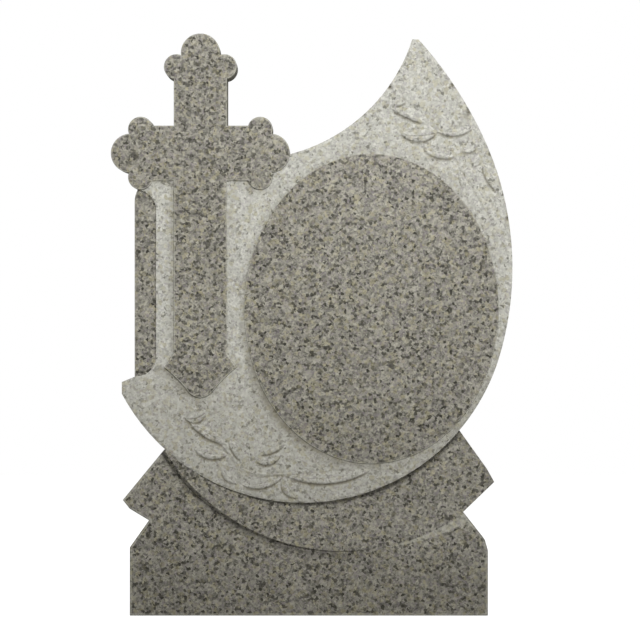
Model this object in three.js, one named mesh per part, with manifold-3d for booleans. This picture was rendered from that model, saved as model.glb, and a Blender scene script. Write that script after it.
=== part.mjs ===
// Granite grave monument cut from one slab: a budded cross, an upright oval field on a
// crescent panel, a second crescent under it, and a foot block with two pointed wings.
// Millimetres. X runs to the right, Y into the stone and Z up. The origin is on the
// underside, at the middle of the foot block. The carved front faces -Y.

import * as THREE from 'three';
import { mergeVertices } from 'three/addons/utils/BufferGeometryUtils.js';
import Module from 'manifold-3d';

const wasm = await Module();
wasm.setup();

// Slab
const HEIGHT = 1000;
const THICKNESS = 120;
const BACK = THICKNESS / 2;
const FRONT = -THICKNESS / 2;

// Depth of each level of the relief behind the foremost face, and how far its edge is eased
const CROSS = { depth: 0, arris: 2 };
const OVAL = { depth: 1, arris: 1.5 };
const CRESCENT = { depth: 3, arris: 1.5 };
const STRIP = { depth: 6, arris: 1.5 };
const BASE = { depth: 14, arris: 4 };

// Foot block and wings
const BLOCK_HALF_WIDTH = 308;
const SHOULDER_LEFT = 117.5;
const SHOULDER_RIGHT = 112;
const SHOULDER_BEND = [303, 130];
const NOTCH_LEFT = [-275, 164];
const NOTCH_RIGHT = [265, 178];
const WING_BEND_LEFT = [-308, 184];
const WING_BEND_RIGHT = [306, 253];
const WING_TIP_LEFT = [-320, 199];
const WING_TIP_RIGHT = [319, 230];
const WING_TOP_LEFT = [-250, 284];
const WING_TOP_RIGHT = [258, 320];

// Crescent: a round lower edge runs on without a corner into wider arcs up to the peak
const BOWL_CENTRE = [-10, 547];
const BOWL_RADIUS = 352;
const HORN_RADIUS = 529;
const HORN_START_DEG = -16.7;
const PEAK_RADIUS = 682;
const PEAK_START_DEG = 25;
const PEAK_TOP = 990;
const TIP_X = -321;
const TIP_TOP = 402;
const HOLLOW_CENTRE = [-106, 1082];
const HOLLOW_RADIUS = 298;
const HOLLOW_END_DEG = -86;
const STRIP_LAP = 15;

// Sunk strip beside the cross, with rounded inner corners
const STRIP_LEFT = -299;
const STRIP_RIGHT = -262;
const STRIP_FOOT_RADIUS = 33;
const STRIP_FOOT = 412.5;
const STRIP_HEAD_RADIUS = 35;
const STRIP_HEAD = 732;
const STRIP_CORNER_DEG = 76;
const STRIP_TUCK = 20;

// Second crescent: part of a disc, whose face falls evenly from left to right. It is proud of
// the base up to BAND_LEVEL_X, with a wall that leans out towards the base, and sunk from there
// on, inside a sloped margin.
const BAND_CENTRE = [60, 471];
const BAND_RADIUS = 359.5;
const BAND_LEVEL_X = 128;
const BAND_FALL = 0.026;
const BAND_REACH = 40;
const WALL_LEAN = 0.8;
const MARGIN_SLOPE = 4;
const SEAT_MARGIN = 0.5;

// Oval field
const OVAL_CENTRE = [107.4, 528];
const OVAL_HALF_WIDTH = 218.5;
const OVAL_HALF_HEIGHT = 266.2;

// Budded cross
const CROSS_X = -186;
const SHAFT_HALF_WIDTH = 45.6;
const ARM_Z = 794.7;
const ARM_HALF_WIDTH = 47.3;
const ARM_REACH = 153.5;
const END_LOBE_RADIUS = 33.5;
const SIDE_LOBE_RADIUS = 21.5;
const SIDE_LOBE_OFFSET = 41;
const HEAD_SETBACK = 57;
const ARM_SETBACK = 51;
const LOBE_OVERLAP = 10;
const FLARE_START = 452;
const FLARE_Z = 427;
const FLARE_HALF_WIDTH = 62;
const FOOT_TIP_Z = 375;
const FOOT_LAP = 14;
const FOOT_WAIST = { x: 36, z: 21 };
const FOOT_NOSE = { x: 20, z: 9 };

// Rose sprays in low relief on the crescent. A leaf bows to its right-hand side.
const LEAVES = [
  { from: [-205, 335], to: [-141, 296], width: 15, bow: 2, rise: 2.4 },
  { from: [-195, 286], to: [-140, 278], width: 17, bow: 4, rise: 2 },
  { from: [-136, 301], to: [-117, 268], width: 13, bow: -2, rise: 1.6 },
  { from: [-149, 254], to: [-126, 228], width: 12, bow: 2, rise: 1.6 },
  { from: [-91, 266], to: [-47, 279], width: 17, bow: 4, rise: 2 },
  { from: [-80, 277], to: [-41, 297], width: 15, bow: -2, rise: 2 },
  { from: [-114, 226], to: [-47, 239], width: 16, bow: 5, rise: 2 },
  { from: [-44, 240], to: [-21, 203], width: 20, bow: 3, rise: 1.6 },
  { from: [-33, 239], to: [104, 251], width: 19, bow: 8, rise: 2.6 },
  { from: [143, 871], to: [208, 842], width: 18, bow: -5, rise: 2.6 },
  { from: [151, 877], to: [167, 884], width: 9, bow: -2, rise: 2 },
  { from: [218, 834], to: [281, 838], width: 14, bow: 5, rise: 2.2 },
  { from: [197, 803], to: [252, 790], width: 17, bow: 2, rise: 2 },
  { from: [260, 799], to: [291, 820], width: 17, bow: 5, rise: 2 },
  { from: [280, 772], to: [297, 797], width: 13, bow: 2, rise: 1.6 },
  { from: [299, 775], to: [322, 731], width: 21, bow: -4, rise: 2.2 },
  { from: [258, 764], to: [266, 736], width: 9, bow: -1, rise: 1.3 },
];
const BUDS = [
  { at: [-193, 345], length: 38, width: 27, turn: -20, rise: 2.2 },
  { at: [189, 829], length: 62, width: 32, turn: 1, rise: 2.4 },
];
const STEMS = [
  { through: [[-178, 320], [-139, 286], [-121, 258], [-97, 243], [-32, 244]], width: 4 },
  { through: [[252, 787], [266, 766], [280, 742], [297, 714], [315, 685]], width: 5 },
  { through: [[283, 741], [289, 768], [286, 795]], width: 4 },
  { through: [[268, 766], [271, 740], [275, 712]], width: 4 },
  { through: [[158, 903], [164, 892], [167, 881]], width: 3 },
];

// Fineness of the facets
const SAG = 0.15;
const FOOT_CURVE_RADIUS = 40;
const LEAF_ROWS = 8;
const LEAF_SIDES = 8;
const STEM_STEPS = 8;
const STEM_SIDES = 6;
const BUD_SIDES = 12;
const BUD_RINGS = 8;
const JOIN_GAP = 0.05;
const WELD_GAP = 1e-4;

const radians = THREE.MathUtils.degToRad;

function solidOf(geometry) {
  geometry.deleteAttribute('normal');
  geometry.deleteAttribute('uv');
  const merged = mergeVertices(geometry, WELD_GAP);
  const corners = merged.index.array;
  const kept = [];
  for (let i = 0; i < corners.length; i += 3) {
    const [a, b, c] = corners.slice(i, i + 3);
    if (a !== b && b !== c && c !== a) {
      kept.push(a, b, c);
    }
  }
  return new wasm.Manifold(new wasm.Mesh({
    numProp: 3,
    vertProperties: merged.attributes.position.array,
    triVerts: new Uint32Array(kept),
  }));
}

function joined(solids) {
  return solids.reduce((whole, next) => whole.add(next));
}

// The outline as straight facets that stray no more than SAG from its round stretches,
// with one point where two of its curves join
function faceted(shape) {
  const points = shape.curves.flatMap((curve) => {
    const radius = curve.isEllipseCurve ? curve.xRadius : FOOT_CURVE_RADIUS;
    const facet = Math.sqrt(8 * radius * SAG);
    return curve.getPoints(curve.isLineCurve ? 1 : Math.ceil(curve.getLength() / facet));
  });
  const before = (i) => points[(i + points.length - 1) % points.length];
  return new THREE.Shape(points.filter((point, i) => point.distanceTo(before(i)) > JOIN_GAP));
}

// A slab of the outline, from the back of the stone forward to a level behind the front
function slab(shape, { depth, arris }) {
  const geometry = new THREE.ExtrudeGeometry(faceted(shape), {
    depth: THICKNESS - depth - 2 * arris,
    bevelThickness: arris,
    bevelSize: arris,
    bevelOffset: -arris,
    bevelSegments: 1,
  });
  geometry.rotateX(Math.PI / 2);
  geometry.translate(0, BACK - arris, 0);
  return solidOf(geometry);
}

// The outline through the whole thickness of the stone
function prism(shape) {
  const geometry = new THREE.ExtrudeGeometry(faceted(shape), {
    depth: THICKNESS,
    bevelEnabled: false,
  });
  geometry.rotateX(Math.PI / 2);
  geometry.translate(0, BACK, 0);
  return solidOf(geometry);
}

function polygon(points) {
  return new THREE.Shape(points.map(([x, z]) => new THREE.Vector2(x, z)));
}

function disc(x, z, radius) {
  return new THREE.Shape().absarc(x, z, radius, 0, 2 * Math.PI);
}

// The foot block and wings, with the second crescent raised on them and sunk in them
function base() {
  const outline = polygon([
    [-BLOCK_HALF_WIDTH, 0],
    [BLOCK_HALF_WIDTH, 0],
    [BLOCK_HALF_WIDTH, SHOULDER_RIGHT],
    SHOULDER_BEND,
    NOTCH_RIGHT,
    WING_TIP_RIGHT,
    WING_BEND_RIGHT,
    WING_TOP_RIGHT,
    WING_TOP_LEFT,
    WING_TIP_LEFT,
    WING_BEND_LEFT,
    NOTCH_LEFT,
    [-BLOCK_HALF_WIDTH, SHOULDER_LEFT],
  ]);
  const band = roundTheBand([
    [0, -SEAT_MARGIN],
    [BAND_RADIUS - WALL_LEAN * SEAT_MARGIN, -SEAT_MARGIN],
    [BAND_RADIUS + WALL_LEAN * BAND_REACH, BAND_REACH],
    [0, BAND_REACH],
  ]);
  const seat = roundTheBand([
    [0, -BAND_REACH],
    [BAND_RADIUS + SEAT_MARGIN + MARGIN_SLOPE * BAND_REACH, -BAND_REACH],
    [BAND_RADIUS + SEAT_MARGIN, 0],
    [0, 0],
  ]);
  return slab(outline, BASE).add(band.intersect(prism(outline))).subtract(seat);
}

// A solid turned about the axis of the second crescent, from points given as the distance from
// that axis and the depth behind the crescent's face
function roundTheBand(points) {
  const profile = points.map(([reach, depth]) => new THREE.Vector2(reach, depth));
  const segments = Math.ceil((Math.PI * BAND_RADIUS) / Math.sqrt(2 * BAND_RADIUS * SAG));
  const geometry = new THREE.LatheGeometry(profile, segments);
  geometry.rotateZ(Math.atan(BAND_FALL));
  const level = FRONT + BASE.depth + BAND_FALL * (BAND_CENTRE[0] - BAND_LEVEL_X);
  geometry.translate(BAND_CENTRE[0], level, BAND_CENTRE[1]);
  return solidOf(geometry);
}

function crescentOutline() {
  const [bx, bz] = BOWL_CENTRE;
  const [hx, hz] = HOLLOW_CENTRE;
  const turn = radians(HORN_START_DEG);
  const rise = radians(PEAK_START_DEG);

  // Each wider arc has its centre on the line through the joint and the centre before it
  const hornX = bx - (HORN_RADIUS - BOWL_RADIUS) * Math.cos(turn);
  const hornZ = bz - (HORN_RADIUS - BOWL_RADIUS) * Math.sin(turn);
  const upperX = hornX - (PEAK_RADIUS - HORN_RADIUS) * Math.cos(rise);
  const upperZ = hornZ - (PEAK_RADIUS - HORN_RADIUS) * Math.sin(rise);

  // The peak is cut off flat between the last of them and the hollow arc of the upper edge
  const peak = Math.asin((PEAK_TOP - upperZ) / PEAK_RADIUS);
  const hollow = Math.asin((PEAK_TOP - hz) / HOLLOW_RADIUS);
  const tip = Math.PI + Math.acos((bx - TIP_X) / BOWL_RADIUS);
  const outline = new THREE.Shape();
  outline.moveTo(TIP_X, TIP_TOP);
  outline.lineTo(TIP_X, bz + BOWL_RADIUS * Math.sin(tip));
  outline.absarc(bx, bz, BOWL_RADIUS, tip, turn + 2 * Math.PI);
  outline.absarc(hornX, hornZ, HORN_RADIUS, turn, rise);
  outline.absarc(upperX, upperZ, PEAK_RADIUS, rise, peak);
  outline.absarc(hx, hz, HOLLOW_RADIUS, hollow, radians(HOLLOW_END_DEG), true);
  outline.lineTo(CROSS_X - SHAFT_HALF_WIDTH, ARM_Z - STRIP_LAP);
  outline.lineTo(STRIP_LEFT + STRIP_LAP / 2, STRIP_HEAD + STRIP_LAP);
  outline.absarc(
    STRIP_RIGHT - STRIP_HEAD_RADIUS, STRIP_HEAD - STRIP_HEAD_RADIUS, STRIP_HEAD_RADIUS,
    radians(STRIP_CORNER_DEG), 0, true,
  );
  outline.absarc(
    STRIP_RIGHT - STRIP_FOOT_RADIUS, STRIP_FOOT + STRIP_FOOT_RADIUS, STRIP_FOOT_RADIUS,
    0, radians(-90), true,
  );
  return outline;
}

function strip() {
  const hidden = STRIP_RIGHT + STRIP_TUCK;
  const outline = new THREE.Shape();
  outline.moveTo(STRIP_LEFT, STRIP_FOOT - STRIP_TUCK);
  outline.lineTo(hidden, STRIP_FOOT - STRIP_TUCK);
  outline.lineTo(hidden, STRIP_HEAD + STRIP_TUCK);
  outline.lineTo(STRIP_LEFT + STRIP_TUCK, STRIP_HEAD + STRIP_TUCK);
  outline.quadraticCurveTo(STRIP_LEFT, STRIP_HEAD, STRIP_LEFT, STRIP_HEAD - STRIP_TUCK);
  return slab(outline, STRIP);
}

function oval() {
  const [x, z] = OVAL_CENTRE;
  const outline = new THREE.Shape().absellipse(
    x, z, OVAL_HALF_WIDTH, OVAL_HALF_HEIGHT, 0, 2 * Math.PI,
  );
  return slab(outline, OVAL);
}

// The three lobes of one budded end, for an arm that points along the unit vector (dx, dz)
function bud(endX, endZ, dx, dz, setback) {
  const sideX = endX - setback * dx;
  const sideZ = endZ - setback * dz;
  const lobes = [
    disc(endX - END_LOBE_RADIUS * dx, endZ - END_LOBE_RADIUS * dz, END_LOBE_RADIUS),
    disc(sideX - SIDE_LOBE_OFFSET * dz, sideZ + SIDE_LOBE_OFFSET * dx, SIDE_LOBE_RADIUS),
    disc(sideX + SIDE_LOBE_OFFSET * dz, sideZ - SIDE_LOBE_OFFSET * dx, SIDE_LOBE_RADIUS),
  ];
  return lobes.map((lobe) => slab(lobe, CROSS));
}

function cross() {
  const inner = ARM_REACH - ARM_SETBACK + LOBE_OVERLAP;
  const head = HEIGHT - HEAD_SETBACK + LOBE_OVERLAP;
  const shaft = polygon([
    [CROSS_X - SHAFT_HALF_WIDTH, FLARE_START - FOOT_LAP],
    [CROSS_X + SHAFT_HALF_WIDTH, FLARE_START - FOOT_LAP],
    [CROSS_X + SHAFT_HALF_WIDTH, head],
    [CROSS_X - SHAFT_HALF_WIDTH, head],
  ]);
  const arms = polygon([
    [CROSS_X - inner, ARM_Z - ARM_HALF_WIDTH],
    [CROSS_X + inner, ARM_Z - ARM_HALF_WIDTH],
    [CROSS_X + inner, ARM_Z + ARM_HALF_WIDTH],
    [CROSS_X - inner, ARM_Z + ARM_HALF_WIDTH],
  ]);
  const waistZ = FLARE_Z - FOOT_WAIST.z;
  const noseZ = FOOT_TIP_Z + FOOT_NOSE.z;
  const foot = new THREE.Shape();
  foot.moveTo(CROSS_X - SHAFT_HALF_WIDTH, FLARE_START);
  foot.lineTo(CROSS_X - FLARE_HALF_WIDTH, FLARE_Z);
  foot.quadraticCurveTo(CROSS_X - FOOT_WAIST.x, waistZ, CROSS_X - FOOT_NOSE.x, noseZ);
  foot.quadraticCurveTo(CROSS_X, FOOT_TIP_Z - FOOT_NOSE.z, CROSS_X + FOOT_NOSE.x, noseZ);
  foot.quadraticCurveTo(CROSS_X + FOOT_WAIST.x, waistZ, CROSS_X + FLARE_HALF_WIDTH, FLARE_Z);
  foot.lineTo(CROSS_X + SHAFT_HALF_WIDTH, FLARE_START);
  return joined([
    slab(shaft, CROSS),
    slab(arms, CROSS),
    slab(foot, CROSS),
    ...bud(CROSS_X, HEIGHT, 0, 1, HEAD_SETBACK),
    ...bud(CROSS_X - ARM_REACH, ARM_Z, -1, 0, ARM_SETBACK),
    ...bud(CROSS_X + ARM_REACH, ARM_Z, 1, 0, ARM_SETBACK),
  ]);
}

// A pointed leaf: a spindle, pressed flat and bowed to one side
function leaf({ from, to, width, bow, rise }) {
  const dx = to[0] - from[0];
  const dz = to[1] - from[1];
  const length = Math.hypot(dx, dz);
  const profile = [];
  for (let row = 0; row <= LEAF_ROWS; row += 1) {
    const t = row / LEAF_ROWS;
    profile.push(new THREE.Vector2((width / 2) * Math.sin(Math.PI * t), length * (t - 0.5)));
  }
  const geometry = new THREE.LatheGeometry(profile, LEAF_SIDES);
  geometry.scale(1, 1, (2 * rise) / width);
  const place = geometry.attributes.position;
  for (let i = 0; i < place.count; i += 1) {
    const t = (2 * place.getY(i)) / length;
    place.setX(i, place.getX(i) + bow * (1 - t * t));
  }
  geometry.rotateX(Math.PI / 2);
  geometry.rotateY(Math.atan2(dx, dz));
  geometry.translate((from[0] + to[0]) / 2, FRONT + CRESCENT.depth, (from[1] + to[1]) / 2);
  return solidOf(geometry);
}

function roseBud({ at, length, width, turn, rise }) {
  const geometry = new THREE.SphereGeometry(1, BUD_SIDES, BUD_RINGS);
  geometry.scale(length / 2, width / 2, rise);
  geometry.rotateX(Math.PI / 2);
  geometry.rotateY(-radians(turn));
  geometry.translate(at[0], FRONT + CRESCENT.depth, at[1]);
  return solidOf(geometry);
}

function stem({ through, width }) {
  const level = FRONT + CRESCENT.depth;
  const path = new THREE.CatmullRomCurve3(
    through.map(([x, z]) => new THREE.Vector3(x, level, z)),
  );
  const section = new THREE.Shape();
  for (let side = 0; side < STEM_SIDES; side += 1) {
    const turn = (2 * Math.PI * side) / STEM_SIDES;
    const x = (width / 2) * Math.cos(turn);
    const y = (width / 2) * Math.sin(turn);
    if (side === 0) {
      section.moveTo(x, y);
    } else {
      section.lineTo(x, y);
    }
  }
  return solidOf(new THREE.ExtrudeGeometry(section, {
    steps: STEM_STEPS,
    extrudePath: path,
    bevelEnabled: false,
  }));
}

function stele() {
  return joined([
    base(),
    strip(),
    slab(crescentOutline(), CRESCENT),
    oval(),
    cross(),
    ...LEAVES.map(leaf),
    ...BUDS.map(roseBud),
    ...STEMS.map(stem),
  ]);
}

function meshOf(solid, name, material) {
  const { vertProperties, triVerts } = solid.getMesh();
  const geometry = new THREE.BufferGeometry();
  geometry.setAttribute('position', new THREE.BufferAttribute(vertProperties, 3));
  geometry.setIndex(new THREE.BufferAttribute(triVerts, 1));
  geometry.computeVertexNormals();
  const mesh = new THREE.Mesh(geometry, material);
  mesh.name = name;
  return mesh;
}

const granite = new THREE.MeshStandardMaterial({ color: 0x86847a, roughness: 0.35, metalness: 0 });

const monument = new THREE.Group();
monument.name = 'grave_monument';
monument.add(meshOf(stele(), 'stele', granite));

export default monument;
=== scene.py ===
import math

import bmesh
import bpy
import numpy as np
from mathutils import Matrix, Vector, kdtree, noise


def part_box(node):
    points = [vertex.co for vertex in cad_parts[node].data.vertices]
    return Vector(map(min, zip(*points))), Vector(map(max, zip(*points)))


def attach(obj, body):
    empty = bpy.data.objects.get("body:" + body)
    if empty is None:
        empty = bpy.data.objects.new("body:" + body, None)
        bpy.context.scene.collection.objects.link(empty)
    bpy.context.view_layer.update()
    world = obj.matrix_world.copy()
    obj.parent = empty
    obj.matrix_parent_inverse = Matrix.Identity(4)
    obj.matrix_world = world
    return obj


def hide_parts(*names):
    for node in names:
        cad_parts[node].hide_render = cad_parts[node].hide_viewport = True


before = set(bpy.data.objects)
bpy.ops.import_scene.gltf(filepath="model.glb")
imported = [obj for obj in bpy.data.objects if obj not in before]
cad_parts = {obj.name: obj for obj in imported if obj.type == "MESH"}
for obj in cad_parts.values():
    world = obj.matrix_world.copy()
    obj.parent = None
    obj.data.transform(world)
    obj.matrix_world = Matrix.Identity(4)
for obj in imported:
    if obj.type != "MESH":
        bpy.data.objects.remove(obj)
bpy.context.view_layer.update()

# Finishes of the stone: warm grey granite, medium in grain, with black mica. The saw and the
# polisher leave the same crystals in each face, and the tool that dresses the crescent
# crushes them to a pale frost.


def new_group(name, inputs, outputs):
    """An empty node group with named sockets, and its input and output nodes."""
    group = bpy.data.node_groups.new(name, "ShaderNodeTree")
    for label, kind, value in inputs:
        socket = group.interface.new_socket(label, in_out="INPUT", socket_type=kind)
        socket.default_value = value
    for label, kind in outputs:
        group.interface.new_socket(label, in_out="OUTPUT", socket_type=kind)
    return group, group.nodes.new("NodeGroupInput"), group.nodes.new("NodeGroupOutput")


def add_node(tree, kind, inputs=None, **settings):
    """A node with its settings, its inputs set to values or joined to the sockets given."""
    node = tree.nodes.new(kind)
    for key, value in settings.items():
        setattr(node, key, value)
    for key, value in (inputs or {}).items():
        if isinstance(value, bpy.types.NodeSocket):
            tree.links.new(value, node.inputs[key])
        else:
            node.inputs[key].default_value = value
    return node


def stretched(tree, value, low, high, to_low, to_high):
    """The value taken from one range to another, and held at its ends."""
    inputs = {"Value": value, "From Min": low, "From Max": high, "To Min": to_low, "To Max": to_high}
    return add_node(tree, "ShaderNodeMapRange", inputs).outputs["Result"]


def mixed(tree, share, first, second):
    """Two colours mixed by a share."""
    mix = add_node(tree, "ShaderNodeMix", data_type="RGBA")
    for key, value in ((0, share), (6, first), (7, second)):
        if isinstance(value, bpy.types.NodeSocket):
            tree.links.new(value, mix.inputs[key])
        else:
            mix.inputs[key].default_value = value
    return mix.outputs[2]


def crystals(tree, place, size, seed):
    """Cells of one kind of crystal: two random numbers for each cell."""
    moved = add_node(tree, "ShaderNodeVectorMath", {0: place, 1: seed}, operation="ADD")
    cells = add_node(
        tree, "ShaderNodeTexVoronoi", {"Vector": moved.outputs[0], "Scale": 1 / size, "Randomness": 1.0},
        feature="F1", voronoi_dimensions="3D",
    )
    apart = add_node(tree, "ShaderNodeSeparateColor", {"Color": cells.outputs["Color"]})
    return apart.outputs["Red"], apart.outputs["Green"]


LARGE_CRYSTAL = 0.0063
SMALL_CRYSTAL = 0.0032
MICA_FLAKE = 0.0043
MICA_SPECK = 0.0023
SPECK_STRENGTH = 0.6
WOBBLE_SCALE = 260.0
WOBBLE_REACH = 0.005
CLOUD_SCALE = 50.0
CLOUD_LEAST = 0.6
CLOUD_MOST = 1.4
FINE_SHARE = 0.55
TINT_SHARE = 0.4
OCHRE = (0.37, 0.33, 0.16, 1)
VIOLET = (0.22, 0.18, 0.23, 1)
grain, grain_in, grain_out = new_group(
    "granite_grain",
    [
        ("Feldspar", "NodeSocketColor", (0.5, 0.5, 0.45, 1)),
        ("Quartz", "NodeSocketColor", (0.2, 0.2, 0.18, 1)),
        ("Mica", "NodeSocketColor", (0.03, 0.03, 0.03, 1)),
        ("Mica Share", "NodeSocketFloat", 0.2),
    ],
    [("Color", "NodeSocketColor"), ("Crystal", "NodeSocketFloat")],
)
place = add_node(grain, "ShaderNodeTexCoord").outputs["Object"]
wobble = add_node(grain, "ShaderNodeTexNoise", {"Vector": place, "Scale": WOBBLE_SCALE, "Detail": 2.0})
centred = add_node(grain, "ShaderNodeVectorMath", {0: wobble.outputs["Color"], 1: (0.5, 0.5, 0.5)},
                   operation="SUBTRACT")
strength = add_node(grain, "ShaderNodeVectorMath", {0: centred.outputs[0], "Scale": WOBBLE_REACH},
                    operation="SCALE")
bent = add_node(grain, "ShaderNodeVectorMath", {0: place, 1: strength.outputs[0]}, operation="ADD")
bent = bent.outputs[0]
large, large_tint = crystals(grain, bent, LARGE_CRYSTAL, (0, 0, 0))
small, small_tint = crystals(grain, bent, SMALL_CRYSTAL, (3.1, 1.7, 5.3))
flakes, flake_tint = crystals(grain, bent, MICA_FLAKE, (7.7, 2.9, 1.1))
specks, speck_tint = crystals(grain, bent, MICA_SPECK, (1.9, 8.3, 4.7))
clouds = add_node(grain, "ShaderNodeTexNoise", {"Vector": place, "Scale": CLOUD_SCALE, "Detail": 2.0})
drift = stretched(grain, clouds.outputs["Fac"], 0.3, 0.7, CLOUD_LEAST, CLOUD_MOST)
mica_share = add_node(grain, "ShaderNodeMath", {0: grain_in.outputs["Mica Share"], 1: drift},
                      operation="MULTIPLY").outputs[0]

feldspar_share = stretched(grain, large, 0.15, 0.85, 0.0, 1.0)
body = mixed(grain, feldspar_share, grain_in.outputs["Quartz"], grain_in.outputs["Feldspar"])
fine = mixed(grain, small, grain_in.outputs["Quartz"], grain_in.outputs["Feldspar"])
body = mixed(grain, FINE_SHARE, body, fine)
body = mixed(grain, stretched(grain, large_tint, 0.65, 1.0, 0.0, TINT_SHARE), body, OCHRE)
body = mixed(grain, stretched(grain, small_tint, 0.6, 1.0, 0.0, TINT_SHARE), body, VIOLET)
for cells, cell_tint, thinned in ((flakes, flake_tint, 1.0), (specks, speck_tint, SPECK_STRENGTH)):
    over = add_node(grain, "ShaderNodeMath", {0: mica_share, 1: cells}, operation="SUBTRACT")
    there = stretched(grain, over.outputs[0], -0.05, 0.05, 0.0, thinned)
    dark = stretched(grain, cell_tint, 0.0, 1.0, 0.35, 1.0)
    mask = add_node(grain, "ShaderNodeMath", {0: there, 1: dark}, operation="MULTIPLY")
    body = mixed(grain, mask.outputs[0], body, grain_in.outputs["Mica"])
grain.links.new(body, grain_out.inputs["Color"])
grain.links.new(small, grain_out.inputs["Crystal"])

# The tool's marks on the stone: a fine noise, and the crystals that stand a little proud in it.
marks, marks_in, marks_out = new_group(
    "tool_marks",
    [("Scale", "NodeSocketFloat", 900.0), ("Crystal", "NodeSocketFloat", 0.5)],
    [("Mark", "NodeSocketFloat"), ("Height", "NodeSocketFloat")],
)
place = add_node(marks, "ShaderNodeTexCoord").outputs["Object"]
tooling = add_node(marks, "ShaderNodeTexNoise",
                   {"Vector": place, "Scale": marks_in.outputs["Scale"], "Detail": 4.0})
raised = add_node(marks, "ShaderNodeMath", {0: tooling.outputs["Fac"], 1: marks_in.outputs["Crystal"]},
                  operation="ADD")
marks.links.new(tooling.outputs["Fac"], marks_out.inputs["Mark"])
marks.links.new(raised.outputs[0], marks_out.inputs["Height"])

# Painted shade laid over the stone's colour: darker towards the ground, a painted shadow on the foot
# along the wall of the second crescent, and the painted shade of the layer on the mesh's points. Places
# here are in metres.
# Painted shade: the colour darkens towards the ground, for the light that falls off lower down.
LOW_SHADE_STRENGTH = 0.24
LOW_SHADE_FROM = 0.05
LOW_SHADE_TO = 0.36
SHADE_TONE = (0.02, 0.018, 0.014, 1)
# Painted shadow on the foot, in a band just outside the wall of the second crescent.
LEDGE_CENTRE = (0.060, 0.0, 0.471)
LEDGE_RADIUS = 0.3595
LEDGE_SHADE = 0.42
LEDGE_RISE = (-0.0005, 0.006)
LEDGE_FALL = (0.007, 0.018)
LEDGE_END_X = (0.05, 0.15)
LEDGE_END_Z = (0.28, 0.3)
# The tone and strength of the painted shade in the corners of the dressed ground.
PAINTED_SHADE_STRENGTH = 0.75
PAINTED_SHADE_TONE = (0.115, 0.1, 0.06, 1)
shade_paint, shade_paint_in, shade_paint_out = new_group(
    "granite_painted_shade", [("Color", "NodeSocketColor", (0.5, 0.5, 0.45, 1))], [("Color", "NodeSocketColor")],
)
place = add_node(shade_paint, "ShaderNodeTexCoord").outputs["Object"]
parts = add_node(shade_paint, "ShaderNodeSeparateXYZ", {"Vector": place})
low_shade = stretched(shade_paint, parts.outputs["Z"], LOW_SHADE_FROM, LOW_SHADE_TO, LOW_SHADE_STRENGTH, 0.0)
low_shaded = mixed(shade_paint, low_shade, shade_paint_in.outputs["Color"], SHADE_TONE)
away = add_node(shade_paint, "ShaderNodeVectorMath", {0: place, 1: LEDGE_CENTRE}, operation="SUBTRACT")
away = add_node(shade_paint, "ShaderNodeVectorMath", {0: away.outputs[0], 1: (1, 0, 1)}, operation="MULTIPLY")
reach = add_node(shade_paint, "ShaderNodeVectorMath", {0: away.outputs[0]}, operation="LENGTH").outputs["Value"]
rise = [LEDGE_RADIUS + gap for gap in LEDGE_RISE]
fall = [LEDGE_RADIUS + gap for gap in LEDGE_FALL]
ledge_shadow = stretched(shade_paint, reach, *fall, LEDGE_SHADE, 0.0)
for mask in (
    stretched(shade_paint, reach, *rise, 0.0, 1.0),
    stretched(shade_paint, parts.outputs["X"], *LEDGE_END_X, 1.0, 0.0),
    stretched(shade_paint, parts.outputs["Z"], *LEDGE_END_Z, 1.0, 0.0),
):
    ledge_shadow = add_node(shade_paint, "ShaderNodeMath", {0: ledge_shadow, 1: mask}, operation="MULTIPLY").outputs[0]
ledge_shadowed = mixed(shade_paint, ledge_shadow, low_shaded, SHADE_TONE)
# The painted shade of the dressed ground, read from the layer on the mesh's points.
painted_shade = add_node(shade_paint, "ShaderNodeAttribute", attribute_name="painted_shade")
shaded = stretched(shade_paint, painted_shade.outputs["Fac"], 0.0, 1.0, 0.0, PAINTED_SHADE_STRENGTH)
shade_paint.links.new(mixed(shade_paint, shaded, ledge_shadowed, PAINTED_SHADE_TONE), shade_paint_out.inputs["Color"])

SHEEN_SPREAD = 0.08
GLOSS = 0.1


def granite(name, roughness, bump_scale, bump_depth, **colours):
    """One finish of the granite: its grain, its roughness and the relief that the tool leaves."""
    material = bpy.data.materials.new(name)
    material.use_nodes = True
    tree = material.node_tree
    shader = tree.nodes["Principled BSDF"]
    shader.inputs["Specular IOR Level"].default_value = GLOSS
    stone = add_node(tree, "ShaderNodeGroup", node_tree=grain)
    for key, value in colours.items():
        stone.inputs[key.replace("_", " ").title()].default_value = value
    # The base colour takes the painted shade of the group above.
    shade_painted = add_node(tree, "ShaderNodeGroup", {"Color": stone.outputs["Color"]}, node_tree=shade_paint)
    tooled = add_node(tree, "ShaderNodeGroup",
                      {"Scale": bump_scale, "Crystal": stone.outputs["Crystal"]}, node_tree=marks)
    sheen = stretched(tree, tooled.outputs["Mark"], 0.2, 0.8, roughness - SHEEN_SPREAD,
                      roughness + SHEEN_SPREAD)
    bump = add_node(tree, "ShaderNodeBump", {"Height": tooled.outputs["Height"], "Strength": 1.0,
                                             "Distance": bump_depth})
    tree.links.new(shade_painted.outputs["Color"], shader.inputs["Base Color"])
    tree.links.new(sheen, shader.inputs["Roughness"])
    tree.links.new(bump.outputs["Normal"], shader.inputs["Normal"])
    return material


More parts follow.
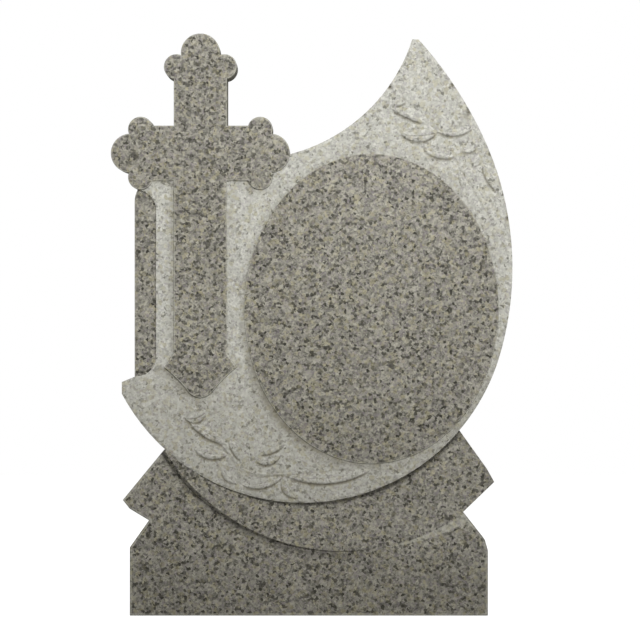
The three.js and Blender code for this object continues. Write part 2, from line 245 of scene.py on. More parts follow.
polished = granite(
    "polished_granite", 0.5, 900.0, 0.00002,
    feldspar=(0.425, 0.408, 0.338, 1), quartz=(0.145, 0.141, 0.121, 1), mica=(0.045, 0.043, 0.034, 1),
    mica_share=0.24,
)
dressed = granite(
    "dressed_granite", 0.85, 700.0, 0.0004,
    feldspar=(0.64, 0.635, 0.575, 1), quartz=(0.41, 0.41, 0.365, 1), mica=(0.19, 0.187, 0.16, 1),
    mica_share=0.1,
)
sawn = granite(
    "sawn_granite", 0.6, 500.0, 0.0002,
    feldspar=(0.46, 0.45, 0.39, 1), quartz=(0.24, 0.235, 0.2, 1), mica=(0.09, 0.087, 0.07, 1),
    mica_share=0.18,
)
honed = granite(
    "honed_granite", 0.7, 900.0, 0.0001,
    feldspar=(0.48, 0.47, 0.4, 1), quartz=(0.3, 0.295, 0.25, 1), mica=(0.15, 0.147, 0.12, 1),
    mica_share=0.12,
)
FINISHES = [polished, dressed, sawn, honed]
POLISHED, DRESSED, SAWN, HONED = 0, 1, 2, 3

# The foot block with its two pointed wings: the lowest level of the front, cut back from the
# slab's face and polished. Its sides are left from the saw. Lengths of the stone are in
# millimetres, and the last step of the mesh turns them to metres.

MM = 0.001
low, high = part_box("stele")
FRONT = round(low.y / MM)
BACK = round(high.y / MM)
ARC_STEP = 3.0
MERGE_GAP = 0.05
FLAT_GAP = 0.01
ARRIS_ROUNDS = 2
FRONT_TURN = -0.5


def outline_from(x, z):
    """A new outline on the plane of the back, and its first point."""
    mesh = bmesh.new()
    return mesh, mesh.verts.new((x, BACK, z))


def straight(mesh, tip, x, z):
    """Draws the outline on to a point."""
    end = bmesh.ops.extrude_vert_indiv(mesh, verts=[tip])["verts"][0]
    end.co = (x, BACK, z)
    return end


def curve(mesh, tip, centre, degrees):
    """Draws the outline on round a centre, anticlockwise from the front, and ends the arc."""
    reach = math.hypot(tip.co.x - centre[0], tip.co.z - centre[1])
    turn = math.radians(degrees)
    steps = max(2, round(abs(turn) * reach / ARC_STEP))
    made = bmesh.ops.spin(
        mesh, geom=[tip], cent=(centre[0], BACK, centre[1]), axis=(0, -1, 0), angle=turn,
        steps=steps, use_duplicate=False,
    )
    return next(v for v in made["geom_last"] if isinstance(v, bmesh.types.BMVert))


def at_angle(centre, radius, degrees):
    """The point of a circle at an angle."""
    turn = math.radians(degrees)
    return centre[0] + radius * math.cos(turn), centre[1] + radius * math.sin(turn)


def angle_at(centre, radius, z):
    """The angle, to the right of the centre, at which a circle has a height."""
    return math.degrees(math.asin((z - centre[1]) / radius))


def closed(mesh):
    """Fills the outline with one face that looks to the back."""
    bmesh.ops.remove_doubles(mesh, verts=mesh.verts[:], dist=MERGE_GAP)
    ends = [v for v in mesh.verts if len(v.link_edges) == 1]
    if ends:
        mesh.edges.new(ends)
    bmesh.ops.contextual_create(mesh, geom=mesh.edges[:])
    return mesh


def through(points):
    """A filled outline with straight sides."""
    mesh, tip = outline_from(*points[0])
    for x, z in points[1:]:
        tip = straight(mesh, tip, x, z)
    return closed(mesh)


def raised_to(mesh, depth, finish, arris=0):
    """Carries an outline forward to a depth behind the foremost face, and eases its front edge."""
    made = bmesh.ops.extrude_face_region(mesh, geom=mesh.faces[:], use_keep_orig=True)
    front = [v for v in made["geom"] if isinstance(v, bmesh.types.BMVert)]
    for v in front:
        v.co.y = FRONT + depth
    bmesh.ops.recalc_face_normals(mesh, faces=mesh.faces[:])
    for face in mesh.faces:
        face.material_index = finish if face.normal.y < FRONT_TURN else SAWN
    if arris:
        rim = [e for e in mesh.edges if all(v.co.y < FRONT + depth + FLAT_GAP for v in e.verts)]
        eased = bmesh.ops.bevel(
            mesh, geom=rim, offset=arris, offset_type="OFFSET", segments=ARRIS_ROUNDS,
            profile=0.5, affect="EDGES", material=-1, clamp_overlap=True,
        )
        for face in eased["faces"]:
            face.material_index = HONED
    return mesh


def as_object(mesh, name):
    """The mesh as an object with the granite's finishes, for the cuts that come."""
    data = bpy.data.meshes.new(name)
    mesh.to_mesh(data)
    mesh.free()
    for finish in FINISHES:
        data.materials.append(finish)
    made = bpy.data.objects.new(name, data)
    bpy.context.scene.collection.objects.link(made)
    return made


def cut_with(stone, tool, operation):
    """Joins the tool's shape to the stone, takes it away, or keeps only what both share."""
    change = stone.modifiers.new("cut", "BOOLEAN")
    change.object = tool
    change.operation = operation
    change.solver = "MANIFOLD"
    ready = stone.evaluated_get(bpy.context.evaluated_depsgraph_get())
    stone.data = bpy.data.meshes.new_from_object(ready)
    stone.modifiers.clear()
    bpy.data.objects.remove(tool)
    return stone


# The outline runs anticlockwise from the lower left corner, over the two notches and wing tips.
FOOT_OUTLINE = [
    (-308, 0), (308, 0), (308, 112), (303, 130), (265, 178), (319, 230), (306, 253), (258, 320),
    (-250, 284), (-320, 199), (-308, 184), (-275, 164), (-308, 117.5),
]
BASE_DEPTH = 14
BASE_ARRIS = 4
foot = raised_to(through(FOOT_OUTLINE), BASE_DEPTH, POLISHED, BASE_ARRIS)
stone = as_object(foot, "carved_stele")

# The second crescent: part of a disc, polished. Its face falls evenly from left to right, so the
# mason has left it proud of the foot on the left and sunk it inside a sloped margin on the right.

BAND_CENTRE = (60, 471)
BAND_RADIUS = 359.5
BAND_LEVEL_X = 128
BAND_FALL = 0.026
BAND_REACH = 40
WALL_LEAN = 0.8
MARGIN_SLOPE = 4
SEAT_MARGIN = 0.5


def round_the_band(front, front_radius, back, back_radius, side):
    """A cone about the band's axis, between two depths behind the band's face."""
    cone = bmesh.new()
    bmesh.ops.create_cone(
        cone, cap_ends=True, segments=round(2 * math.pi * BAND_RADIUS / ARC_STEP),
        radius1=back_radius, radius2=front_radius, depth=back - front,
    )
    for f in cone.faces:
        f.material_index = POLISHED if len(f.verts) > 4 else side
    level = FRONT + BASE_DEPTH + BAND_FALL * (BAND_CENTRE[0] - BAND_LEVEL_X)
    place = (
        Matrix.Translation((BAND_CENTRE[0], level, BAND_CENTRE[1]))
        @ Matrix.Rotation(math.atan(BAND_FALL), 4, "Z") @ Matrix.Rotation(math.pi / 2, 4, "X")
        @ Matrix.Translation((0, 0, -(front + back) / 2))
    )
    bmesh.ops.transform(cone, matrix=place, verts=cone.verts[:])
    return as_object(cone, "cone")


band = as_object(raised_to(through(FOOT_OUTLINE), 0, POLISHED), "band")
body = round_the_band(-SEAT_MARGIN, BAND_RADIUS - WALL_LEAN * SEAT_MARGIN,
                      BAND_REACH, BAND_RADIUS + WALL_LEAN * BAND_REACH, POLISHED)
cut_with(stone, cut_with(band, body, "INTERSECT"), "UNION")
seat_radius = BAND_RADIUS + SEAT_MARGIN
seat = round_the_band(-BAND_REACH, seat_radius + MARGIN_SLOPE * BAND_REACH, 0, seat_radius, HONED)
cut_with(stone, seat, "DIFFERENCE")

# The sunk strip beside the cross: a narrow polished level between the crescent and the edge of
# the stone.

STRIP_LEFT = -299
STRIP_RIGHT = -262
STRIP_FOOT = 412.5
STRIP_HEAD = 732
STRIP_TUCK = 20
STRIP_DEPTH = 6
STRIP_ARRIS = 1.5


def sagging(mesh, tip, pull, end, steps=8):
    """Draws the outline on along a bow that is pulled towards a point."""
    start = (tip.co.x, tip.co.z)
    for k in range(1, steps + 1):
        t = k / steps
        x, z = ((1 - t) ** 2 * a + 2 * t * (1 - t) * p + t * t * b for a, p, b in zip(start, pull, end))
        tip = straight(mesh, tip, x, z)
    return tip


strip, tip = outline_from(STRIP_LEFT, STRIP_FOOT - STRIP_TUCK)
tip = straight(strip, tip, STRIP_RIGHT + STRIP_TUCK, STRIP_FOOT - STRIP_TUCK)
tip = straight(strip, tip, STRIP_RIGHT + STRIP_TUCK, STRIP_HEAD + STRIP_TUCK)
tip = straight(strip, tip, STRIP_LEFT + STRIP_TUCK, STRIP_HEAD + STRIP_TUCK)
sagging(strip, tip, (STRIP_LEFT, STRIP_HEAD), (STRIP_LEFT, STRIP_HEAD - STRIP_TUCK))
strip = raised_to(closed(strip), STRIP_DEPTH, POLISHED, STRIP_ARRIS)
cut_with(stone, as_object(strip, "strip"), "UNION")

# The crescent: the pale ground behind the cross and the oval, dressed by hand, with two rose
# sprays left standing in low relief. The tool has bitten small chips out of its edge.

CRESCENT_DEPTH = 3
BOWL_CENTRE = (-10, 547)
BOWL_RADIUS = 352
HORN_RADIUS = 529
HORN_START = -16.7
PEAK_RADIUS = 682
PEAK_START = 25
PEAK_TOP = 990
TIP_X = -321
TIP_TOP = 402
HOLLOW_CENTRE = (-106, 1082)
HOLLOW_RADIUS = 298
HOLLOW_END = -86
STRIP_FOOT_RADIUS = 33
STRIP_HEAD_RADIUS = 35
STRIP_CORNER = 76
STRIP_LAP = 15
CROSS_X = -186
SHAFT_HALF_WIDTH = 45.6
ARM_Z = 794.7


def crescent_outline():
    """The crescent's outline: the bowl, two wider arcs to the peak, the hollow, and the strip."""
    horn_centre = at_angle(BOWL_CENTRE, BOWL_RADIUS - HORN_RADIUS, HORN_START)
    peak_centre = at_angle(horn_centre, HORN_RADIUS - PEAK_RADIUS, PEAK_START)
    peak = angle_at(peak_centre, PEAK_RADIUS, PEAK_TOP)
    hollow = angle_at(HOLLOW_CENTRE, HOLLOW_RADIUS, PEAK_TOP)
    toe = 180 + math.degrees(math.acos((BOWL_CENTRE[0] - TIP_X) / BOWL_RADIUS))
    mesh, tip = outline_from(TIP_X, TIP_TOP)
    tip = straight(mesh, tip, *at_angle(BOWL_CENTRE, BOWL_RADIUS, toe))
    tip = curve(mesh, tip, BOWL_CENTRE, 360 + HORN_START - toe)
    tip = curve(mesh, tip, horn_centre, PEAK_START - HORN_START)
    tip = curve(mesh, tip, peak_centre, peak - PEAK_START)
    tip = straight(mesh, tip, *at_angle(HOLLOW_CENTRE, HOLLOW_RADIUS, hollow))
    tip = curve(mesh, tip, HOLLOW_CENTRE, HOLLOW_END - hollow)
    tip = straight(mesh, tip, CROSS_X - SHAFT_HALF_WIDTH, ARM_Z - STRIP_LAP)
    tip = straight(mesh, tip, STRIP_LEFT + STRIP_LAP / 2, STRIP_HEAD + STRIP_LAP)
    head = (STRIP_RIGHT - STRIP_HEAD_RADIUS, STRIP_HEAD - STRIP_HEAD_RADIUS)
    tip = straight(mesh, tip, *at_angle(head, STRIP_HEAD_RADIUS, STRIP_CORNER))
    tip = curve(mesh, tip, head, -STRIP_CORNER)
    heel = (STRIP_RIGHT - STRIP_FOOT_RADIUS, STRIP_FOOT + STRIP_FOOT_RADIUS)
    tip = straight(mesh, tip, *at_angle(heel, STRIP_FOOT_RADIUS, 0))
    curve(mesh, tip, heel, -90)
    return closed(mesh)


# Each leaf and bud has its two ends, its width, its bow to one side and how far it stands proud.
# Each stem has the points it runs by and its width.
LEAVES = [
    ((-205, 335), (-141, 296), 15, 2, 2.4), ((-195, 286), (-140, 278), 17, 4, 2),
    ((-136, 301), (-117, 268), 13, -2, 1.6), ((-149, 254), (-126, 228), 12, 2, 1.6),
    ((-91, 266), (-47, 279), 17, 4, 2), ((-80, 277), (-41, 297), 15, -2, 2),
    ((-114, 226), (-47, 239), 16, 5, 2), ((-44, 240), (-21, 203), 20, 3, 1.6),
    ((-33, 239), (104, 251), 19, 8, 2.6), ((143, 871), (208, 842), 18, -5, 2.6),
    ((151, 877), (167, 884), 9, -2, 2), ((218, 834), (281, 838), 14, 5, 2.2),
    ((197, 803), (252, 790), 17, 2, 2), ((260, 799), (291, 820), 17, 5, 2),
    ((280, 772), (297, 797), 13, 2, 1.6), ((299, 775), (322, 731), 21, -4, 2.2),
    ((258, 764), (266, 736), 9, -1, 1.3),
]
BUDS = [((-212, 339), (-176, 351), 27, 0, 2.2), ((158, 829), (220, 830), 32, 0, 2.4)]
STEMS = [
    ([(-178, 320), (-139, 286), (-121, 258), (-97, 243), (-32, 244)], 4),
    ([(252, 787), (266, 766), (280, 742), (297, 714), (315, 685)], 5),
    ([(283, 741), (289, 768), (286, 795)], 4), ([(268, 766), (271, 740), (275, 712)], 4),
    ([(158, 903), (164, 892), (167, 881)], 3),
]
STEM_RISE = 0.8
STEM_GROOVE = 0.2
LEAF_GROOVE = 0.5
SOFT_EDGE = (-2.2, 3.0)
GROOVE_GAP = 1.5
GROOVE_WIDTH = 2.0
LEAF_TAPER = 0.8
LOW_SHARE = 0.3
MIDRIB_DEPTH = 0.7
MIDRIB_WIDTH = 1.0
VEIN_DEPTH = 0.3
VEIN_PITCH = 7
VEIN_SWEEP = 0.9
BUD_RIM_SHARE = 0.4
BUD_TILT = 0.15
PETAL_LINES = ((0.35, 1.1), (-0.45, 0.9))
PETAL_WIDTH = 1.2
FAR = 1e3


def smooth_step(value, low, high):
    """Runs from 0 to 1 between two values, with no corner at either."""
    t = np.clip((value - low) / (high - low), 0, 1)
    return t * t * (3 - 2 * t)


def lens_place(x, z, lens):
    """Where points lie on a bowed lens: along it, across it, and how far outside its edge."""
    (x0, z0), (x1, z1), width, bow = lens[:4]
    length = math.hypot(x1 - x0, z1 - z0)
    ux, uz = (x1 - x0) / length, (z1 - z0) / length
    along = (x - x0) * ux + (z - z0) * uz
    t = np.clip(along / length, 0, 1)
    arch = 4 * t * (1 - t)
    across = (x - x0) * uz - (z - z0) * ux - bow * arch
    half = np.maximum(width / 2 * arch ** LEAF_TAPER, FLAT_GAP)
    past = np.maximum(np.maximum(-along, along - length), 0)
    return along, across, half, np.hypot(np.maximum(np.abs(across) - half, 0), past) - np.where(
        past > 0, 0, np.maximum(half - np.abs(across), 0))


def path_gap(x, z, points):
    """How far points lie from a path."""
    gap = np.full(x.shape, FAR)
    for (x0, z0), (x1, z1) in zip(points, points[1:]):
        length = math.hypot(x1 - x0, z1 - z0)
        ux, uz = (x1 - x0) / length, (z1 - z0) / length
        t = np.clip((x - x0) * ux + (z - z0) * uz, 0, length)
        gap = np.minimum(gap, np.hypot(x - x0 - t * ux, z - z0 - t * uz))
    return gap


def rounded_path(points, rounds=3):
    """The path with its corners cut until it runs smoothly."""
    for _ in range(rounds):
        cut = [points[0]]
        for (x0, z0), (x1, z1) in zip(points, points[1:]):
            cut += [(0.75 * x0 + 0.25 * x1, 0.75 * z0 + 0.25 * z1),
                    (0.25 * x0 + 0.75 * x1, 0.25 * z0 + 0.75 * z1)]
        points = cut + [points[-1]]
    return points


def spray_gap(x, z):
    """How far points lie from the nearest carved part of the sprays."""
    gap = np.full(x.shape, FAR)
    for lens in LEAVES + BUDS:
        gap = np.minimum(gap, lens_place(x, z, lens)[3])
    for points, width in STEMS:
        gap = np.minimum(gap, path_gap(x, z, rounded_path(points)) - width / 2)
    return gap


def stand(level, gap, top, groove):
    """Raises the ground to a shape's top inside its edge, and sinks a line round it."""
    inside = smooth_step(-gap, *SOFT_EDGE)
    line = groove * np.exp(-((gap - GROOVE_GAP) / GROOVE_WIDTH) ** 2)
    return level * (1 - inside) + top * inside - line * (1 - inside)


def carved_level(level, x, z):
    """How far the sprays stand proud, in millimetres, on ground of a level."""
    for points, width in STEMS:
        gap = path_gap(x, z, rounded_path(points)) - width / 2
        round_top = np.sqrt(np.clip(1 - ((gap + width / 2) / (width / 2)) ** 2, 0, 1))
        top = STEM_RISE * (LOW_SHARE + (1 - LOW_SHARE) * round_top)
        level = stand(level, gap, top, STEM_GROOVE)
    for lens in LEAVES:
        along, across, half, gap = lens_place(x, z, lens)
        (x0, z0), (x1, z1), _, _, rise = lens
        lean = np.clip(across / half, -1, 1) * (x1 - x0) / math.hypot(x1 - x0, z1 - z0)
        top = rise * (LOW_SHARE + (1 - LOW_SHARE) * smooth_step(lean, -1, 1))
        top -= MIDRIB_DEPTH * np.exp(-(across / MIDRIB_WIDTH) ** 2)
        wave = np.cos((along - VEIN_SWEEP * np.abs(across)) * 2 * math.pi / VEIN_PITCH)
        top -= VEIN_DEPTH * (0.5 + 0.5 * wave) ** 3
        level = stand(level, gap, top, LEAF_GROOVE)
    for lens in BUDS:
        along, across, half, gap = lens_place(x, z, lens)
        ratio = np.clip(across / half, -1, 1)
        domed = BUD_RIM_SHARE + (1 - BUD_RIM_SHARE) * np.sqrt(1 - ratio ** 2)
        top = lens[4] * domed * (1 - BUD_TILT + BUD_TILT * ratio)
        for share, cut in PETAL_LINES:
            top -= cut * np.exp(-((across - share * half) / PETAL_WIDTH) ** 2)
        level = stand(level, gap, top, LEAF_GROOVE)
    return level


RIM_SAMPLES = 3
crescent = crescent_outline()
rim_tree = kdtree.KDTree(RIM_SAMPLES * len(crescent.edges))
for n, edge in enumerate(crescent.edges):
    a, b = edge.verts
    for k in range(RIM_SAMPLES):
        rim_tree.insert(a.co.lerp(b.co, k / RIM_SAMPLES), RIM_SAMPLES * n + k)
rim_tree.balance()
crescent_block = as_object(raised_to(crescent, 0, DRESSED), "crescent")


def rim_gap(x, z):
    """How far points lie from the crescent's outline."""
    return np.array([rim_tree.find((a, BACK, b))[2] for a, b in zip(x, z)])


CELL = 4.0
SPAN_X = (-328, 356)
SPAN_Z = (188, 996)
BROAD_HEIGHT = 0.35
BROAD_PITCH = 23
FINE_HEIGHT = 0.22
FINE_PITCH = 6
EDGE_WEAR = 2.5
EDGE_WIDTH = 5.0
RAGGED_PITCH = 5
RAGGED_RANGE = (0.2, 2)
CHIP_REACH = 1.3
PANEL_OVERRUN = 5
# Each round of refinement halves the cells this near to a spray, and this near to the rim.
REFINED = ((9, 6), (4, 3))
# Each chip has its place, its radius and its depth.
CHIPS = [
    ((275, 866), 6, 4), ((270, 858), 5, 3), ((311, 792), 4, 3), ((341, 682), 5, 3.5), ((246, 912), 4, 3),
    ((151, 934), 5, 3), ((139, 908), 5, 3), ((93, 863), 5, 3),
]
panel = bmesh.new()
cells_x = math.ceil((SPAN_X[1] - SPAN_X[0]) / CELL)
cells_z = math.ceil((SPAN_Z[1] - SPAN_Z[0]) / CELL)
bmesh.ops.create_grid(panel, x_segments=cells_x, y_segments=cells_z, size=0.5)
for v in panel.verts:
    v.co = (SPAN_X[0] + (v.co.x + 0.5) * CELL * cells_x, 0, SPAN_Z[0] + (v.co.y + 0.5) * CELL * cells_z)
for spray_reach, rim_reach in REFINED:
    x, z = np.array([((e.verts[0].co + e.verts[1].co) / 2).xz for e in panel.edges]).T
    wanted = (spray_gap(x, z) < spray_reach) | (rim_gap(x, z) < rim_reach)
    chosen = [e for e, want in zip(panel.edges, wanted) if want]
    bmesh.ops.subdivide_edges(panel, edges=chosen, cuts=1, use_grid_fill=True)
bmesh.ops.triangulate(panel, faces=panel.faces[:])
x, z = np.array([v.co.xz for v in panel.verts]).T
tooling = np.array([
    BROAD_HEIGHT * noise.noise(Vector((a, 0, b)) / BROAD_PITCH)
    + FINE_HEIGHT * noise.noise(Vector((a, 7, b)) / FINE_PITCH)
    for a, b in zip(x, z)
])
level = carved_level(tooling, x, z)
worn = 1 - np.clip(rim_gap(x, z) / EDGE_WIDTH, 0, 1)
ragged = np.array([0.5 + noise.noise(Vector((a, 3, b)) / RAGGED_PITCH) for a, b in zip(x, z)])
level -= EDGE_WEAR * worn ** 2 * np.clip(ragged, *RAGGED_RANGE)
for (chip_x, chip_z), radius, bite in CHIPS:
    near = np.clip(CHIP_REACH - np.hypot(x - chip_x, z - chip_z) / radius, 0, 1)
    level -= bite * near * (0.5 + ragged)
for v, rise in zip(panel.verts, level):
    v.co.y = FRONT + CRESCENT_DEPTH - rise
rim = bmesh.ops.extrude_edge_only(panel, edges=[e for e in panel.edges if e.is_boundary])["geom"]
for v in rim:
    if isinstance(v, bmesh.types.BMVert):
        v.co.y = BACK + PANEL_OVERRUN
bmesh.ops.contextual_create(panel, geom=[e for e in panel.edges if e.is_boundary])
bmesh.ops.recalc_face_normals(panel, faces=panel.faces[:])
for f in panel.faces:
    f.material_index = DRESSED
cut_with(crescent_block, as_object(panel, "panel"), "INTERSECT")
cut_with(stone, crescent_block, "UNION")

# The oval field: an upright mirror of polished stone, cut in one with the slab, that the family's
# words would go on. It is left blank here.

OVAL_CENTRE = (107.4, 528)
OVAL_HALF_WIDTH = 218.5
OVAL_HALF_HEIGHT = 266.2
OVAL_DEPTH = 1
OVAL_ARRIS = 1.5


def ellipse(centre, half_width, half_height):
    """A filled ellipse on the plane of the back."""
    mesh = bmesh.new()
    steps = round(2 * math.pi * max(half_width, half_height) / ARC_STEP)
    bmesh.ops.create_circle(mesh, cap_ends=True, radius=1, segments=steps)
    for v in mesh.verts:
        v.co = (centre[0] + half_width * v.co.x, BACK, centre[1] + half_height * v.co.y)
    return mesh


oval = ellipse(OVAL_CENTRE, OVAL_HALF_WIDTH, OVAL_HALF_HEIGHT)
oval = raised_to(oval, OVAL_DEPTH, POLISHED, OVAL_ARRIS)
cut_with(stone, as_object(oval, "oval"), "UNION")

# The cross: the foremost level, polished, with three round buds at the head and at each arm and
# a flared, pointed foot.

ARM_HALF_WIDTH = 47.3
ARM_REACH = 153.5
CROSS_TOP = 1000
END_LOBE = 33.5
SIDE_LOBE = 21.5
SIDE_LOBE_OFFSET = 41
HEAD_SETBACK = 57
ARM_SETBACK = 51
LOBE_OVERLAP = 10
FLARE_START = 452
FLARE_Z = 427
FLARE_HALF_WIDTH = 62
FOOT_TIP_Z = 375
FOOT_LAP = 14
FOOT_WAIST = (36, 21)
FOOT_NOSE = (20, 9)
CROSS_ARRIS = 2


def add_to_cross(mesh):
    """Joins one flat shape to the stone at the level of the cross."""
    cut_with(stone, as_object(raised_to(mesh, 0, POLISHED, CROSS_ARRIS), "cross_part"), "UNION")


def bar(left, right, bottom, top):
    """A filled rectangle."""
    return through([(left, bottom), (right, bottom), (right, top), (left, top)])


def bud(end_x, end_z, dx, dz, setback):
    """Adds the three lobes of one end of the cross, which points along (dx, dz)."""
    side_x, side_z = end_x - setback * dx, end_z - setback * dz
    add_to_cross(ellipse((end_x - END_LOBE * dx, end_z - END_LOBE * dz), END_LOBE, END_LOBE))
    for side in (-1, 1):
        centre = (side_x + side * SIDE_LOBE_OFFSET * dz, side_z + side * SIDE_LOBE_OFFSET * dx)
        add_to_cross(ellipse(centre, SIDE_LOBE, SIDE_LOBE))


inner = ARM_REACH - ARM_SETBACK + LOBE_OVERLAP
add_to_cross(bar(CROSS_X - SHAFT_HALF_WIDTH, CROSS_X + SHAFT_HALF_WIDTH, FLARE_START - FOOT_LAP,
                 CROSS_TOP - HEAD_SETBACK + LOBE_OVERLAP))
add_to_cross(bar(CROSS_X - inner, CROSS_X + inner, ARM_Z - ARM_HALF_WIDTH, ARM_Z + ARM_HALF_WIDTH))
bud(CROSS_X, CROSS_TOP, 0, 1, HEAD_SETBACK)
bud(CROSS_X - ARM_REACH, ARM_Z, -1, 0, ARM_SETBACK)
bud(CROSS_X + ARM_REACH, ARM_Z, 1, 0, ARM_SETBACK)
waist_z = FLARE_Z - FOOT_WAIST[1]
nose_z = FOOT_TIP_Z + FOOT_NOSE[1]
flare, tip = outline_from(CROSS_X - SHAFT_HALF_WIDTH, FLARE_START)
tip = straight(flare, tip, CROSS_X - FLARE_HALF_WIDTH, FLARE_Z)
tip = sagging(flare, tip, (CROSS_X - FOOT_WAIST[0], waist_z), (CROSS_X - FOOT_NOSE[0], nose_z))
tip = sagging(flare, tip, (CROSS_X, FOOT_TIP_Z - FOOT_NOSE[1]), (CROSS_X + FOOT_NOSE[0], nose_z))
tip = sagging(flare, tip, (CROSS_X + FOOT_WAIST[0], waist_z), (CROSS_X + FLARE_HALF_WIDTH, FLARE_Z))
straight(flare, tip, CROSS_X + SHAFT_HALF_WIDTH, FLARE_START)
add_to_cross(closed(flare))

# Painted shade in the corners of the dressed ground: below the ledges of the sprays, round the chips,
# along the cross and the oval, most on the side away from the light, and more towards the bottom. It is
# a layer on the mesh's points, and the finished mesh then takes the place of the solid.

FOOT_PROFILE = [(FOOT_TIP_Z, 0), (nose_z, FOOT_NOSE[0]), (waist_z, FOOT_WAIST[0]),
                (FLARE_Z, FLARE_HALF_WIDTH), (FLARE_START, SHAFT_HALF_WIDTH)]
# The side away from the light, where the painted shade lies most.
LEE = (-0.8, -0.6)
WALL_SHADE = 0.15
WALL_SHADE_WIDTH = 14
CORNER = 0.5
CORNER_WIDTH = (4, 8)
LOW_SHADE = 0.28
LOW_FROM = 480
LOW_TO = 350
SHADE_END = 36
FOOT_SLANT = 0.8
CHIP_SHADE_REACH = 1.2
# A ledge is looked for above each point, and painted shadow put below it: the step to it, the rises it
# counts between, its share.
LEDGES = (((0.8, 2.5), (0.1, 1.2), 0.25), ((1.8, 5), (0.2, 1.6), 0.45))
GROUND_TURN = -0.3
SHARP_ANGLE = 35


def bar_gap(x, z, centre, half_width, half_height):
    """How far points lie outside a rectangle."""
    return np.maximum(np.abs(x - centre[0]) - half_width, np.abs(z - centre[1]) - half_height)


def wall_gap(x, z):
    """How far points of the ground lie from the oval and the cross."""
    across, up = x - OVAL_CENTRE[0], z - OVAL_CENTRE[1]
    reach = np.hypot(across / OVAL_HALF_WIDTH, up / OVAL_HALF_HEIGHT)
    steep = np.hypot(across / OVAL_HALF_WIDTH ** 2, up / OVAL_HALF_HEIGHT ** 2) / reach
    shaft_centre = (CROSS_X, (FLARE_START + CROSS_TOP) / 2)
    foot_width = np.interp(z, *np.array(FOOT_PROFILE).T)
    side = CROSS_X + np.sign(x - CROSS_X) * (ARM_REACH - ARM_SETBACK)
    return np.minimum.reduce([
        (reach - 1) / steep,
        bar_gap(x, z, shaft_centre, SHAFT_HALF_WIDTH, (CROSS_TOP - FLARE_START) / 2),
        bar_gap(x, z, (CROSS_X, ARM_Z), ARM_REACH - ARM_SETBACK, ARM_HALF_WIDTH),
        np.hypot(x - side, z - ARM_Z + SIDE_LOBE_OFFSET) - SIDE_LOBE,
        np.where(z > FLARE_START, SHADE_END,
                 FOOT_SLANT * np.maximum(np.abs(x - CROSS_X) - foot_width, FOOT_TIP_Z - z)),
    ])


def painted_shade_at(x, z):
    """How much painted shade the dressed ground takes at points, from 0 to 1."""
    gap = wall_gap(x, z)
    lee = np.clip(LEE[0] * (wall_gap(x + 1, z) - gap) + LEE[1] * (wall_gap(x, z + 1) - gap), 0, 1)
    corner = WALL_SHADE * np.exp(-(gap / WALL_SHADE_WIDTH) ** 2)
    corner += CORNER * lee ** 2 * np.exp(-(gap / (CORNER_WIDTH[0] + CORNER_WIDTH[1] * lee ** 3)) ** 2)
    flat = np.zeros(x.shape)
    here = carved_level(flat, x, z)
    under = sum(
        share * smooth_step(carved_level(flat, x + dx, z + dz) - here, *rises)
        for (dx, dz), rises, share in LEDGES
    )
    bitten = sum(
        np.clip(CHIP_SHADE_REACH - np.hypot(x - cx, z - cz) / radius, 0, 1)
        for (cx, cz), radius, _ in CHIPS
    )
    low = LOW_SHADE * smooth_step(-z, -LOW_FROM, -LOW_TO)
    return np.clip(corner + low + under + bitten, 0, 1)


whole = bmesh.new()
whole.from_mesh(stone.data)
# The layer of painted shade on the dressed ground's points.
painted_shade = whole.verts.layers.float.new("painted_shade")
ground = [v for v in whole.verts if any(f.material_index == DRESSED and f.normal.y < GROUND_TURN
                                        for f in v.link_faces)]
x, z = np.array([v.co.xz for v in ground]).T
for v, shade_amount in zip(ground, painted_shade_at(x, z)):
    v[painted_shade] = shade_amount
bmesh.ops.scale(whole, vec=(MM, MM, MM), verts=whole.verts[:])
for v in whole.verts:
    v.co = [min(max(at, least), most) for at, least, most in zip(v.co, low, high)]
for edge in whole.edges:
    edge.smooth = edge.is_manifold and edge.calc_face_angle(0) < math.radians(SHARP_ANGLE)
for f in whole.faces:
    f.smooth = True
whole.to_mesh(stone.data)
whole.free()
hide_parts("stele")
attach(stone, "root")

# The studio: a pale floor, a soft light from the upper right, a weaker one behind the stone, and
# a long lens at the height of the stone's middle.

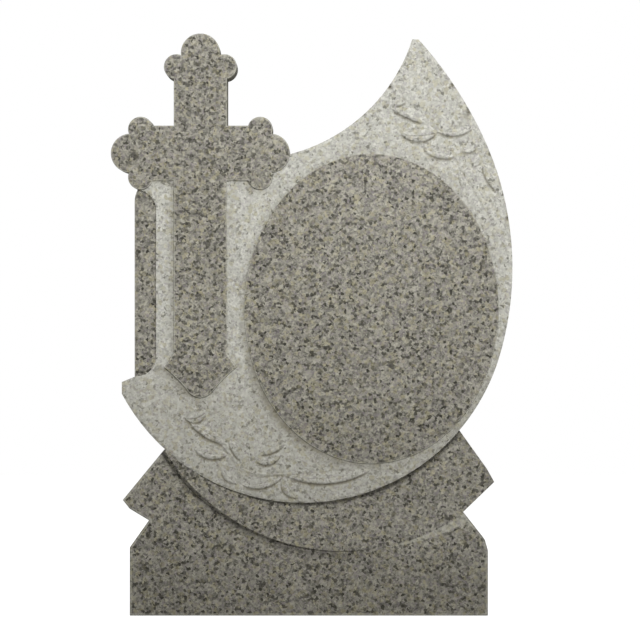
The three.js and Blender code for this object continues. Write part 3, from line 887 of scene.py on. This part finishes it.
AMBIENT = 0.22
BACKDROP = 1.0
FLOOR_HALF = 6
FLOOR_LIFT = 0.92
stage = bmesh.new()
bmesh.ops.create_grid(stage, x_segments=1, y_segments=1, size=FLOOR_HALF)
floor_mesh = bpy.data.meshes.new("floor")
stage.to_mesh(floor_mesh)
stage.free()
floor = bpy.data.objects.new("floor", floor_mesh)
bpy.context.scene.collection.objects.link(floor)
paper = bpy.data.materials.new("paper")
paper.use_nodes = True
paper_shader = paper.node_tree.nodes["Principled BSDF"]
paper_shader.inputs["Base Color"].default_value = (0.5, 0.5, 0.49, 1)
paper_shader.inputs["Roughness"].default_value = 0.9
paper_shader.inputs["Emission Color"].default_value = (1, 1, 1, 1)
paper_seen = add_node(paper.node_tree, "ShaderNodeLightPath").outputs["Is Camera Ray"]
lift = stretched(paper.node_tree, paper_seen, 0.0, 1.0, 0.0, FLOOR_LIFT)
paper.node_tree.links.new(lift, paper_shader.inputs["Emission Strength"])
floor_mesh.materials.append(paper)

world = bpy.data.worlds.new("studio")
world.use_nodes = True
sky = world.node_tree
seen = add_node(sky, "ShaderNodeLightPath").outputs["Is Camera Ray"]
glow = stretched(sky, seen, 0.0, 1.0, AMBIENT, BACKDROP)
sky.links.new(glow, sky.nodes["Background"].inputs["Strength"])
sky.nodes["Background"].inputs["Color"].default_value = (1.0, 1.0, 1.0, 1)
bpy.context.scene.world = world
bpy.context.scene.view_settings.view_transform = "Standard"

VIEW_DISTANCE = 8.0
FRAME_WIDTH = 1.0978
AIM = Vector((0.0192, FRONT * MM, 0.5086))
EYE_HEIGHT = 0.56


def pointed(thing, place, target):
    """Puts a camera or lamp at a place and turns it to a target."""
    holder = bpy.data.objects.new(thing.name, thing)
    holder.location = place
    holder.rotation_euler = (Vector(target) - Vector(place)).to_track_quat("-Z", "Y").to_euler()
    bpy.context.scene.collection.objects.link(holder)
    return holder


key = bpy.data.lights.new("key", "AREA")
key.shape = "RECTANGLE"
key.size = 2.1
key.size_y = 0.8
key.spread = math.radians(130)
key.energy = 33.3
pointed(key, (0.3, -2.0, 1.9), (0.0, 0, 0.66))
fill = bpy.data.lights.new("fill", "AREA")
fill.shape = "DISK"
fill.size = 2.0
fill.energy = 24
pointed(fill, (-1.6, 2.4, 1.6), (0.0, 0, 0.5))

lens = bpy.data.cameras.new("camera")
lens.lens = lens.sensor_width * VIEW_DISTANCE / FRAME_WIDTH
lens.clip_end = 100
camera = pointed(lens, (AIM.x, AIM.y - VIEW_DISTANCE, EYE_HEIGHT), AIM)
bpy.context.scene.camera = camera
